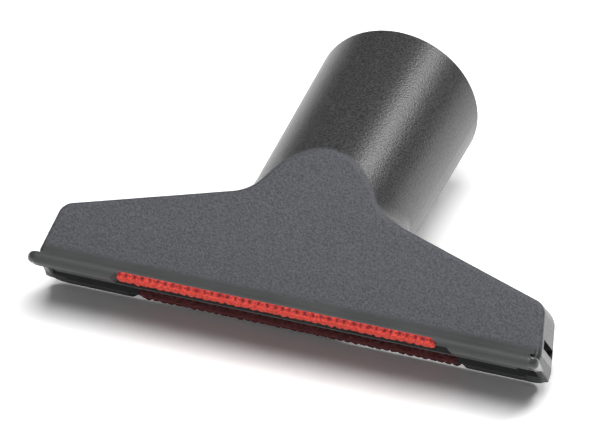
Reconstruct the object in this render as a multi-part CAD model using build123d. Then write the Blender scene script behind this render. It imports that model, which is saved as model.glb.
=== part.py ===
"""Vacuum upholstery nozzle: a moulded socket, a flat hood and a flared mouth with two thread lifters.

The moulding is built in the hood's own frame (X along the mouth, Y up the flat hood face, Z out of
that face) and then turned to lie on the floor on its socket and its lower lip.
"""
import math
import os

from build123d import *

# Angles, degrees
face_angle = 38.0        # flat hood face to the floor
mouth_angle = 45.6       # mouth plane to the floor
socket_draft = 1.15      # taper of the socket's outside
shoulder_angle = 16.4    # slope of the hood's upper edges
ramp_angle = 11.0        # underside between the lower lip and the socket
hood_draft = 5.0         # hood's walls widen towards the back

# Hood, mm
hood_half_base = 58.0    # half width where the face meets the lip
hood_lean = 2.1          # how far each side leans in up to its shoulder corner
hood_side = 11.3         # height of the hood's sides
hood_tuck = 1.8          # how far the end walls draw in below the face's foot
hood_depth = 12.5        # flat face to back face
hood_corner = 3.5        # rounding of the shoulder corners
face_edge = 1.2          # rounding around the flat face
back_edge = 2.6          # rounding around the back face
wall = 1.9
neck_fillet = 7.5        # hollow blend between shoulders and socket

# Mouth, mm
lip_ends = 1.1           # how far the upper lip's ends stand out beyond the hood
lip_taper = 1.8          # how much shorter each end of the lower lip is
lip_near = 5.2           # how far the upper lip stands out from the flat face
lip_drop = 4.65          # how far the upper lip's edge lies below the face's foot
mouth_depth = 22.4       # upper lip's edge to lower lip's edge
lip_edge = 2.6           # height of the lips' outer edges
lip_fillet = 2.8         # hollow blend between the flat face and the upper lip
lip_nose = 1.15          # rounding of the lips' outer edges
lip_corner = 2.4         # rounding of the rim's upper corners in plan
lip_corner_low = 3.8     # and of its lower corners

end_arch = 1.1           # rise of the rim's ends between the lips
end_arch_width = 13.0

# Air slots in the end walls, mm
slot_low = 1.9
slot_high = 4.0
slot_front = 2.0         # behind the flat face

# Socket for the tube, mm
socket_radius = 17.5
socket_outer = 19.2      # outside radius at the open end
socket_length = 31.0     # open end to the stop shoulder
throat_radius = 16.0     # air way past the stop shoulder
axis_length = 73.4       # socket axis from the flat face to the open end
lead_in = 0.8
end_bevel = 0.5

# Thread lifters, mm
recess_depth = 1.2
recess_ramp = 1.2
strip_half = 37.0
strip_shift = -0.5       # strips sit a little off the middle of their recesses
strip_width = 5.2
strip_proud = 0.2
strip_round = 0.35
strip_inset = 0.3        # strip's outer side behind the lip's edge
strip_play = 0.3         # strip's inner side to the recess
strip_end_play = 0.4     # strip's nearer end to the recess


def rad(angle):
    return math.radians(angle)


lip_half = hood_half_base + lip_ends
lip_half_low = lip_half - lip_taper
recess_half = strip_half + abs(strip_shift) + strip_end_play
tilt = 90 - face_angle - mouth_angle
axis_angle = face_angle - socket_draft
along = Vector(0, math.sin(rad(tilt)), -math.cos(rad(tilt)))
inward = Vector(0, math.cos(rad(tilt)), math.sin(rad(tilt)))
near_edge = Vector(0, -lip_drop, lip_near)
far_edge = near_edge + along * mouth_depth
floor_up = Vector(0, math.sin(rad(face_angle)), math.cos(rad(face_angle)))
floor_height = far_edge.dot(floor_up)

mouth = Plane(near_edge, x_dir=(1, 0, 0), z_dir=inward)
section = Plane(near_edge, x_dir=along, z_dir=(1, 0, 0))

# The socket's underside lies along the floor with the lower lip's edge.
axis_rise = axis_length * math.sin(rad(socket_draft))
axis_foot = (floor_height + socket_outer * math.cos(rad(socket_draft)) - axis_rise) / math.sin(rad(face_angle))
axis_dir = Vector(0, math.cos(rad(axis_angle)), -math.sin(rad(axis_angle)))
socket = Plane((0, axis_foot, 0), x_dir=(1, 0, 0), z_dir=axis_dir)

big = 200.0
below_face = Pos(0, 0, -big / 2) * Box(2 * big, 2 * big, big)
inside_face = Pos(0, 0, -wall - big / 2) * Box(2 * big, 2 * big, big)
inside_mouth = mouth * Pos(0, 0, big / 2) * Box(2 * big, 2 * big, big)

# The ramp lifts the underside from the socket's line up to the root of the lower lip.
ramp_root = Vector(0, 1.0, -hood_depth)
ramp_turn = rad(face_angle + ramp_angle)
ramp_up = Vector(0, math.sin(ramp_turn), math.cos(ramp_turn))
ramp = Plane(ramp_root, x_dir=(1, 0, 0), z_dir=ramp_up)
above_ramp = ramp * Pos(0, 0, big / 2) * Box(2 * big, 2 * big, big)
inside_ramp = ramp * Pos(0, 0, wall + big / 2) * Box(2 * big, 2 * big, big)


def hood_outline(inset):
    """Hood seen square on the flat face, with its foot carried down into the mouth."""
    base = hood_half_base - inset
    top = base - hood_lean
    side = hood_side - inset
    peak = side + top * math.tan(rad(shoulder_angle))
    half = [(base - hood_tuck, -2 * lip_drop), (base, 0), (top, side)]
    mirrored = [(-x, y) for x, y in reversed(half)]
    outline = Polygon(*half, (0, peak), *mirrored, align=None)
    corners = outline.vertices().filter_by(lambda p: abs(p.Y - side) < 0.01)
    return fillet(corners, max(hood_corner - inset, 1.0))


def cone_along(radius, start, end, draft):
    """Round solid on the socket's axis, measured from the flat face, widening to the open end."""
    length = end - start
    narrow = radius - length * math.tan(rad(draft))
    return socket * Pos(0, 0, start + length / 2) * Cone(narrow, radius, length)


def drum_along(radius, start, end):
    """Round straight solid on the socket's axis."""
    return socket * Pos(0, 0, (start + end) / 2) * Cylinder(radius, end - start)


# Outside of the hood and the socket, the flat face slicing the socket into an arched tongue
slab = extrude(hood_outline(0), hood_depth, dir=(0, 0, -1), taper=-hood_draft)
rear = slab.faces().sort_by(Axis.Z)[0]
slab = fillet(rear.edges().filter_by(lambda e: e.center().Y > -lip_drop), back_edge)
tube = cone_along(socket_outer, -axis_length / 2, axis_length, socket_draft)
shell = (slab + (tube & below_face & above_ramp)) & inside_mouth

outside = shell.faces().filter_by(GeomType.CONE).sort_by(SortBy.AREA)[-1]
neck = outside.edges().filter_by(lambda e: -hood_depth + back_edge < (e @ 0.5).Z < -1)
neck = neck.filter_by(lambda e: abs((e @ 0.5).X) > 1 and (e @ 0.5).Y < 2.5 * hood_side)
shell = fillet(neck, neck_fillet)
flat = shell.faces().filter_by(lambda f: abs(f.center().Z) < 0.001)
shell = fillet(flat.edges().filter_by(lambda e: (e @ 0.5).Y > -lip_drop + 1), face_edge)
open_end = shell.faces().sort_by(Axis((0, 0, 0), axis_dir))[-1]
shell = chamfer(open_end.edges(), end_bevel)

# Flared rim of the mouth: a rounded plate with a sloped root up to the hood
foot = mouth.to_local_coords(Vector(0, 0, 0))
rim_plan = Polygon(
    (-lip_half, 0), (lip_half, 0), (lip_half_low, mouth_depth), (-lip_half_low, mouth_depth), align=None
)
rim_plan = fillet(rim_plan.vertices().filter_by(lambda p: p.Y < 1), lip_corner)
rim_plan = fillet(rim_plan.vertices().filter_by(lambda p: p.Y > mouth_depth - 0.01), lip_corner_low)
plate = extrude(rim_plan, lip_edge)
plate = fillet(plate.edges().filter_by(lambda e: abs((e @ 0.5).Z - lip_edge / 2) > 0.1), lip_nose)
root_points = [
    (lip_nose, lip_nose),
    (lip_nose, lip_edge),
    (foot.Y, foot.Z),
    (mouth_depth - lip_near, foot.Z),
    (mouth_depth - lip_nose, lip_edge),
    (mouth_depth - lip_nose, lip_nose),
]
rise = extrude(section * Polygon(*root_points, align=None), lip_half_low - lip_nose, both=True)
rim = mouth * plate + rise

# Shallow arch under each end of the rim, between the lips
arch_radius = (end_arch_width ** 2 / 4 + end_arch ** 2) / (2 * end_arch)
arch = Rot(0, 90, 0) * Cylinder(arch_radius, 6 * wall)
arch_spot = (mouth_depth / 2, end_arch - arch_radius)
arches = [mouth * Pos(side * lip_half, *arch_spot) * arch for side in (-1, 1)]

# Hollow blend from the flat face down to the upper lip
root = Vector(foot.Y, foot.Z)
up_face = Vector(math.sin(rad(tilt)), math.cos(rad(tilt)))
down_lip = (Vector(lip_nose, lip_edge) - root).normalized()
half_turn = rad(up_face.get_angle(down_lip) / 2)
reach = lip_fillet / math.tan(half_turn)
middle = (up_face + down_lip).normalized()
hollow = Pos(root + middle * lip_fillet / math.sin(half_turn)) * Circle(lip_fillet)
corners = [root + up_face * reach, root - middle, root + down_lip * reach]
blend_face = Polygon(*corners, align=None) - hollow
blend = extrude(section * blend_face, big, both=True) & extrude(hood_outline(face_edge), lip_near, both=True)

# Air way: bore, stop shoulder, throat and the room behind the flat face, open at the mouth
room = Pos(0, 0, -wall) * extrude(hood_outline(wall), hood_depth - 2 * wall, dir=(0, 0, -1), taper=-hood_draft)
stop = axis_length - socket_length
throat = drum_along(throat_radius, -axis_length / 2, stop) & inside_face & inside_ramp & inside_mouth
bore = drum_along(socket_radius, stop, axis_length + 1)
flare = cone_along(socket_radius + lead_in, axis_length - lead_in, axis_length, 45)

# Air slots through the end walls
slot_deep = hood_depth - slot_front - wall
slot = Box(6 * wall, slot_high - slot_low, slot_deep, align=(Align.CENTER, Align.MIN, Align.MAX))
slots = [Pos(side * hood_half_base, slot_low, -slot_front) * slot for side in (-1, 1)]

# Recesses in the lips, ramped at both ends, with the strips that lie in them
recess_points = [
    (-recess_half - 2 * recess_ramp, -recess_depth),
    (recess_half + 2 * recess_ramp, -recess_depth),
    (recess_half, recess_depth),
    (-recess_half, recess_depth),
]
recess_face = Plane(near_edge, x_dir=(1, 0, 0), z_dir=-along) * Polygon(*recess_points, align=None)
recess_width = strip_inset + strip_width + strip_play
near_recess = extrude(recess_face, recess_width, dir=along) + extrude(recess_face, 2, dir=-along)
far_recess = Pos(along * (mouth_depth - recess_width + 2)) * near_recess
strip = Box(2 * strip_half, strip_width, recess_depth + strip_proud, align=(Align.CENTER, Align.MIN, Align.MAX))
strip = fillet(strip.edges().filter_by(Axis.X).sort_by(Axis.Z)[:2], strip_round)
near_strip = mouth * Pos(strip_shift, strip_inset, recess_depth) * strip
far_strip = mouth * Pos(strip_shift, mouth_depth - strip_inset - strip_width, recess_depth) * strip

body = shell + rim + blend - room - throat - bore - flare - slots - arches - near_recess - far_recess

# Turned to lie on the floor, with the origin below the middle of the part
lying = Rot(face_angle, 0, 0)
box = (lying * body).bounding_box()
place = Pos(0, -box.center().Y, -box.min.Z) * lying

nodes = {
    "nozzle_body": body,
    "upper_thread_lifter": near_strip,
    "lower_thread_lifter": far_strip,
}
os.makedirs("parts", exist_ok=True)
for name, shape in nodes.items():
    export_step(place * shape, f"parts/{name}.step")
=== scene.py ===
import math

import bpy
from mathutils import Matrix, Vector, noise


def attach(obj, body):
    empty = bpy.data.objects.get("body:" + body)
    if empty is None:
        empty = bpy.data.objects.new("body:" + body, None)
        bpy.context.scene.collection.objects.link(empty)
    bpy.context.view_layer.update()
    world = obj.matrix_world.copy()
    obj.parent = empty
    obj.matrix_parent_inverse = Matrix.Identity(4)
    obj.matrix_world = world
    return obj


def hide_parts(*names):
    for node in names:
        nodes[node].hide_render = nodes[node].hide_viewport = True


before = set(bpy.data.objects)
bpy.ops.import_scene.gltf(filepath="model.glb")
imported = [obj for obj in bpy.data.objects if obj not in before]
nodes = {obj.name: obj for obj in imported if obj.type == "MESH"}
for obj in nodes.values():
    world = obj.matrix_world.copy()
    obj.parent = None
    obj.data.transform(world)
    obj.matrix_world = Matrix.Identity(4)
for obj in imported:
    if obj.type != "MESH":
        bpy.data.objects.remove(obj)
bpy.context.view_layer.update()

# Hood and mouth as the part lies at rest, in metres, from the part's angles
face_angle = math.radians(38.0)
mouth_tilt = math.radians(6.4)
mouth_turn = face_angle + mouth_tilt
mouth_depth = 0.0224
inward = Vector((0, math.cos(mouth_turn), math.sin(mouth_turn)))
along = Vector((0, math.sin(mouth_turn), -math.cos(mouth_turn)))
face_out = Vector((0, -math.sin(face_angle), math.cos(face_angle)))
near_edge = Vector((0, -0.042441, 0.016004))
far_edge = near_edge + along * mouth_depth
face_foot = Vector((0, -0.035576, 0.014769))

# Black plastic: spans over which one finish passes into the next, then each finish
grain_span = (0.0042, 0.0062)
behind_span = (0.0002, 0.0012)
end_span = (0.0566, 0.0574)
dull_span = (0.0034, 0.0052)
grain_stops = (0.33, 0.67)
cloud_stops = (0.3, 0.7)
face_tones = ((0.056, 0.057, 0.066), (0.112, 0.114, 0.130))
# The socket's tones are darker than the face's: painted shade, for how the light falls on the socket and
# the walls behind the face
socket_shaded_tones = ((0.023, 0.023, 0.024), (0.073, 0.073, 0.0745))
lip_tones = ((0.048, 0.050, 0.050), (0.066, 0.069, 0.068))
face_rough = 0.6
socket_rough = 0.30
lip_rough = 0.56
mouth_rough = 0.96
end_rough = 0.20
face_bump = 0.55
socket_bump = 0.26
lip_bump = 0.04
grain_height = 0.0003

# Velvet: pitch of the tufts along X, and where shade is painted dark into the partings between them
tuft_pitch = 0.0018
tuft_wander = 0.0016
tuft_stops = (0.3, 0.7)
tuft_height = 0.0002
parting_span = (0.0001, 0.0007)
parting_foot = (0.0005, 0.0010)
parting_top = (0.0015, 0.0018)
patch_span = (0.3, 0.55)
patch_share = (0.4, 1.0)

# Pile bands: mesh steps, fuzz of two sizes, and dents between the tufts
recess_depth = 0.0012
row_step = 0.00024
point_step = 0.0002
easing_rounds = 4
end_taper = 0.0012
fine_fuzz = 0.00014
fine_scale = 2600
broad_fuzz = 0.00028
broad_scale = 900
dent_depth = 0.0004

# Floor paper, and how much whiter the camera and reflections see it than it lights the part
paper_tones = ((0.93, 0.93, 0.93), (0.96, 0.96, 0.96))
paper_height = 0.004
floor_lift = 1.42
floor_size = 6.0

# Places of the Mix node's two sides and its result among its sockets, for colours and for numbers
mix_sockets = {"RGBA": (6, 7, 2), "FLOAT": (2, 3, 0)}


def add_node(tree, kind, **values):
    """New node, with each value put on the input or the setting of that name."""
    node = tree.nodes.new(kind)
    for key, value in values.items():
        if key in node.inputs:
            node.inputs[key].default_value = value
        else:
            setattr(node, key, value)
    return node


def feed(tree, slot, side):
    """Give a node's input a socket or a plain value."""
    if isinstance(side, bpy.types.NodeSocket):
        tree.links.new(side, slot)
    else:
        slot.default_value = side


def new_material(name):
    """New material with its node tree, its shader and the point on the surface."""
    mat = bpy.data.materials.new(name)
    mat.use_nodes = True
    tree = mat.node_tree
    shader = tree.nodes["Principled BSDF"]
    spot = tree.nodes.new("ShaderNodeTexCoord").outputs["Object"]
    return mat, tree, shader, spot


def speckle(tree, spot, **values):
    """Noise texture over the surface."""
    node = add_node(tree, "ShaderNodeTexNoise", **values)
    tree.links.new(spot, node.inputs["Vector"])
    return node.outputs["Fac"]


def ramp(tree, source, stops, tones):
    """Colours between two tones, by a number between two stops."""
    node = tree.nodes.new("ShaderNodeValToRGB")
    for element, position, tone in zip(node.color_ramp.elements, stops, tones):
        element.position = position
        element.color = (*tone, 1)
    tree.links.new(source, node.inputs["Fac"])
    return node.outputs["Color"]


def remap(tree, source, span, to=(0.0, 1.0)):
    """Smooth step from one span of numbers to another."""
    node = add_node(tree, "ShaderNodeMapRange", interpolation_type="SMOOTHSTEP")
    for name, value in zip(("From Min", "From Max", "To Min", "To Max"), (*span, *to)):
        node.inputs[name].default_value = value
    tree.links.new(source, node.inputs["Value"])
    return node.outputs["Result"]


def number(tree, operation, *sides):
    """Math on numbers; each side is a socket or a plain number."""
    node = add_node(tree, "ShaderNodeMath", operation=operation)
    for slot, side in zip(node.inputs, sides):
        feed(tree, slot, side)
    return node.outputs["Value"]


def distance_from(tree, spot, point, direction):
    """How far a point of the surface lies beyond a plane."""
    dot = add_node(tree, "ShaderNodeVectorMath", operation="DOT_PRODUCT")
    tree.links.new(spot, dot.inputs[0])
    dot.inputs[1].default_value = direction
    return number(tree, "SUBTRACT", dot.outputs["Value"], point.dot(direction))


def blend(tree, kind, mask, low, high):
    """Mix of two colours or two numbers by a mask; each side is a socket or a plain value."""
    node = add_node(tree, "ShaderNodeMix", data_type=kind)
    first, second, result = mix_sockets[kind]
    tree.links.new(mask, node.inputs[0])
    feed(tree, node.inputs[first], low)
    feed(tree, node.inputs[second], high)
    return node.outputs[result]


def along_x(tree, spot):
    """The surface point's place along the mouth."""
    split = add_node(tree, "ShaderNodeSeparateXYZ")
    tree.links.new(spot, split.inputs[0])
    return split.outputs["X"]


def add_bump(tree, shader, height, strength, distance):
    """Raise the surface by a texture."""
    bump = add_node(tree, "ShaderNodeBump", Distance=distance)
    feed(tree, bump.inputs["Strength"], strength)
    tree.links.new(height, bump.inputs["Height"])
    tree.links.new(bump.outputs["Normal"], shader.inputs["Normal"])


def plastic():
    """Black moulded plastic: grained hood and socket, smoother lips, glossy end walls, dull mouth, with
    shade painted onto the socket as a darker tone.
    """
    mat, tree, shader, spot = new_material("black_plastic")
    cloud = speckle(tree, spot, Scale=70.0, Detail=4.0)
    grain = speckle(tree, spot, Scale=2100.0, Detail=2.0, Roughness=0.6)
    grained = remap(tree, distance_from(tree, spot, near_edge, inward), grain_span)
    behind = remap(tree, distance_from(tree, spot, face_foot, -face_out), behind_span)
    ends = remap(tree, number(tree, "ABSOLUTE", along_x(tree, spot)), end_span)

    face = ramp(tree, grain, grain_stops, face_tones)
    socket = ramp(tree, grain, grain_stops, socket_shaded_tones)
    lips = ramp(tree, cloud, cloud_stops, lip_tones)
    # Behind the face, the darker socket tones are painted shade
    hood = blend(tree, "RGBA", behind, face, socket)
    tree.links.new(blend(tree, "RGBA", grained, lips, hood), shader.inputs["Base Color"])
    shader.inputs["Specular IOR Level"].default_value = 0.4

    across_mouth = distance_from(tree, spot, near_edge, along)
    lip_finish = remap(tree, across_mouth, dull_span, (lip_rough, mouth_rough))
    rim_finish = blend(tree, "FLOAT", ends, lip_finish, end_rough)
    hood_finish = blend(tree, "FLOAT", behind, face_rough, socket_rough)
    tree.links.new(blend(tree, "FLOAT", grained, rim_finish, hood_finish), shader.inputs["Roughness"])

    hood_bump = blend(tree, "FLOAT", behind, face_bump, socket_bump)
    add_bump(tree, shader, grain, blend(tree, "FLOAT", grained, lip_bump, hood_bump), grain_height)
    return mat


def velvet(name, shade, light, parting_shade):
    """Short pile, with shade painted dark into the partings between its rows of tufts."""
    mat, tree, shader, spot = new_material(name)
    tuft = speckle(tree, spot, Scale=2600.0, Detail=3.0)
    clump = speckle(tree, spot, Scale=450.0, Detail=2.0)
    tone = ramp(tree, tuft, tuft_stops, (shade, light))

    wander = number(tree, "MULTIPLY_ADD", clump, tuft_wander, along_x(tree, spot))
    row = number(tree, "PINGPONG", wander, tuft_pitch / 2)
    depth = distance_from(tree, spot, near_edge, inward)
    # Painted shade: a dark colour in the partings between the tufts, near the band's top edge
    parting_shade_mask = remap(tree, row, parting_span, (1.0, 0.0))
    parting_shade_mask = number(tree, "MULTIPLY", parting_shade_mask, remap(tree, depth, parting_foot))
    parting_shade_mask = number(tree, "MULTIPLY", parting_shade_mask, remap(tree, depth, parting_top, (1.0, 0.0)))
    parting_shade_mask = number(tree, "MULTIPLY", parting_shade_mask, remap(tree, tuft, patch_span, patch_share))
    tree.links.new(blend(tree, "RGBA", parting_shade_mask, tone, (*parting_shade, 1)), shader.inputs["Base Color"])

    shader.inputs["Roughness"].default_value = 0.9
    shader.inputs["Sheen Weight"].default_value = 0.25
    shader.inputs["Sheen Tint"].default_value = (*light, 1)
    add_bump(tree, shader, tuft, 0.5, tuft_height)
    return mat


def floor_paper():
    """White sweep paper, a trace uneven, lifted for the rays that show it."""
    mat, tree, shader, spot = new_material("white_paper")
    cloud = speckle(tree, spot, Scale=40.0, Detail=3.0)
    tone = ramp(tree, cloud, cloud_stops, paper_tones)
    rays = add_node(tree, "ShaderNodeLightPath").outputs
    seen = number(tree, "MAXIMUM", rays["Is Camera Ray"], rays["Is Glossy Ray"])
    seen = number(tree, "MAXIMUM", seen, rays["Is Transmission Ray"])
    lifted = add_node(tree, "ShaderNodeVectorMath", operation="SCALE")
    tree.links.new(tone, lifted.inputs[0])
    tree.links.new(remap(tree, seen, (0.0, 1.0), (1.0, floor_lift)), lifted.inputs["Scale"])
    tree.links.new(lifted.outputs["Vector"], shader.inputs["Base Color"])
    shader.inputs["Roughness"].default_value = 0.6
    add_bump(tree, shader, cloud, 0.15, paper_height)
    return mat


def dress(obj, mat):
    """Give an object one material."""
    obj.data.materials.clear()
    obj.data.materials.append(mat)


def walk(corners):
    """Even steps along a path of (across, deep) corners, with its corners eased."""
    path = [Vector(corner) for corner in corners]
    points = []
    for a, b in zip(path, path[1:]):
        count = max(1, round((b - a).length / point_step))
        points += [a.lerp(b, k / count) for k in range(count)]
    points.append(path[-1])
    for _ in range(easing_rounds):
        inner = [(a + 2 * b + c) / 4 for a, b, c in zip(points, points[1:], points[2:])]
        points = [points[0], *inner, points[-1]]
    return points


def outward(points):
    """Direction away from the band at each point of its shown side."""
    normals = []
    for a, b in zip([points[0], *points], [*points[1:], points[-1]]):
        run = (b - a).normalized()
        normals.append(Vector((run.y, -run.x)))
    return normals


def skin(rows, count):
    """Faces of a closed tube of rows, each a ring of count points, with both ends capped."""
    faces = []
    for i in range(rows - 1):
        for k in range(count):
            n = (k + 1) % count
            faces.append((i * count + k, (i + 1) * count + k, (i + 1) * count + n, i * count + n))
    faces.append(tuple(range(count)))
    faces.append(tuple((rows - 1) * count + k for k in reversed(range(count))))
    return faces


def pile_band(name, edge, across, shown, hidden, left, right, end_round, mat, replaced):
    """Band of pile between two ends along X: a shown side with ragged pile and a plain hidden side."""
    face = walk(shown)
    normals = outward(face)
    back = [Vector(corner) for corner in hidden]
    center = (face[0] + face[-1]) / 2
    rows = int((right - left) / row_step) + 1
    verts = []
    for i in range(rows):
        x = left + (right - left) * i / (rows - 1)
        to_end = max(0.0, min(1.0, min(x - left, right - x) / end_taper))
        pinch = end_round * (1 - math.sqrt(1 - (1 - to_end) ** 2))
        lobe = abs(math.sin(math.pi * x / tuft_pitch))
        ring = []
        for point, normal in zip(face, normals):
            here = Vector((x, point.x, point.y))
            fuzz = noise.noise(here * fine_scale) * fine_fuzz + noise.noise(here * broad_scale) * broad_fuzz
            ring.append(point + normal * (fuzz - dent_depth * (1 - lobe) ** 2))
        for point in ring + back:
            place = point.lerp(center, pinch)
            verts.append(edge + Vector((x, 0, 0)) + across * place.x + inward * place.y)
    mesh = bpy.data.meshes.new(name)
    mesh.from_pydata(verts, [], skin(rows, len(face) + len(back)))
    mesh.update()
    for poly in mesh.polygons:
        poly.use_smooth = True
    band = bpy.data.objects.new(name, mesh)
    bpy.context.scene.collection.objects.link(band)
    dress(band, mat)
    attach(band, "root")
    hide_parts(replaced)
    return band


def area_light(name, place, aim, size, watts):
    """Rectangular lamp that faces a point."""
    data = bpy.data.lights.new(name, "AREA")
    data.shape = "RECTANGLE"
    data.size, data.size_y = size
    data.energy = watts
    lamp = bpy.data.objects.new(name, data)
    lamp.location = place
    lamp.rotation_euler = (Vector(aim) - Vector(place)).to_track_quat("-Z", "Y").to_euler()
    bpy.context.scene.collection.objects.link(lamp)
    return lamp


dress(nodes["nozzle_body"], plastic())

# Velvet strips: bands of pile along the lips, fluffed out over the edges that they lie beside
# Each velvet's third colour is painted shade for the partings between its tufts
coral = velvet("red_velvet", (0.46, 0.026, 0.018), (0.90, 0.100, 0.070), (0.15, 0.006, 0.018))
# The lower band's velvet is a darker copy of the upper one: painted shade, for the near lip's shadow over
# it
shaded_velvet = velvet("painted_shade_velvet", (0.080, 0.017, 0.018), (0.16, 0.034, 0.037), (0.048, 0.010, 0.013))
pile_band(
    "upper_velvet", near_edge, along,
    shown=[(-0.00015, 0.00175), (-0.00015, 0.0001), (0.0032, 0.0001)],
    hidden=[(0.0032, recess_depth), (-0.00002, recess_depth), (-0.00002, 0.00175)],
    left=-0.0376, right=0.0358, end_round=0.6, mat=coral, replaced="upper_thread_lifter",
)
pile_band(
    "lower_velvet", far_edge, -along,
    shown=[(0.0016, recess_depth), (0.0016, 0.0), (0.0069, -0.00015), (0.0069, 0.0018)],
    hidden=[(0.00654, 0.0018), (0.00654, -0.00005), (0.0055, -0.00005), (0.0055, recess_depth)],
    left=-0.0361, right=0.0379, end_round=0.0, mat=shaded_velvet, replaced="lower_thread_lifter",
)

bpy.ops.mesh.primitive_plane_add(size=floor_size, location=(0, 0, 0))
floor = bpy.context.object
floor.name = "floor"
dress(floor, floor_paper())

# Overhead key, weak fill from the front, and a lamp behind for the light streak on the socket
middle = (0, 0, 0.015)
area_light("key", (0.06, -0.21, 1.0), middle, (0.66, 0.66), 9.2)
area_light("front_fill", (0.1, -1.1, 0.45), middle, (0.8, 0.5), 1.8)
area_light("back_right", (0.42, 0.66, 0.68), middle, (0.35, 0.35), 4.3)

world = bpy.data.worlds.new("studio")
world.use_nodes = True
sky = world.node_tree.nodes["Background"]
sky.inputs["Color"].default_value = (1, 1, 1, 1)
sky.inputs["Strength"].default_value = 0.09
bpy.context.scene.world = world

# Camera fitted to the photo's outline
camera_right = Vector((0.944261, 0.328971, 0.012214))
camera_forward = Vector((-0.263736, 0.778177, -0.569986))
camera_place = (0.32183, -0.980369, 0.727546)
camera_up = camera_right.cross(camera_forward)
camera_data = bpy.data.cameras.new("camera")
camera_data.sensor_width = 36
camera_data.sensor_fit = "HORIZONTAL"
camera_data.lens = 342.6
camera_data.dof.use_dof = False
camera = bpy.data.objects.new("camera", camera_data)
turn = Matrix((camera_right, camera_up, -camera_forward)).transposed()
camera.matrix_world = Matrix.Translation(camera_place) @ turn.to_4x4()
bpy.context.scene.collection.objects.link(camera)
bpy.context.scene.camera = camera
bpy.context.scene.view_settings.view_transform = "Standard"
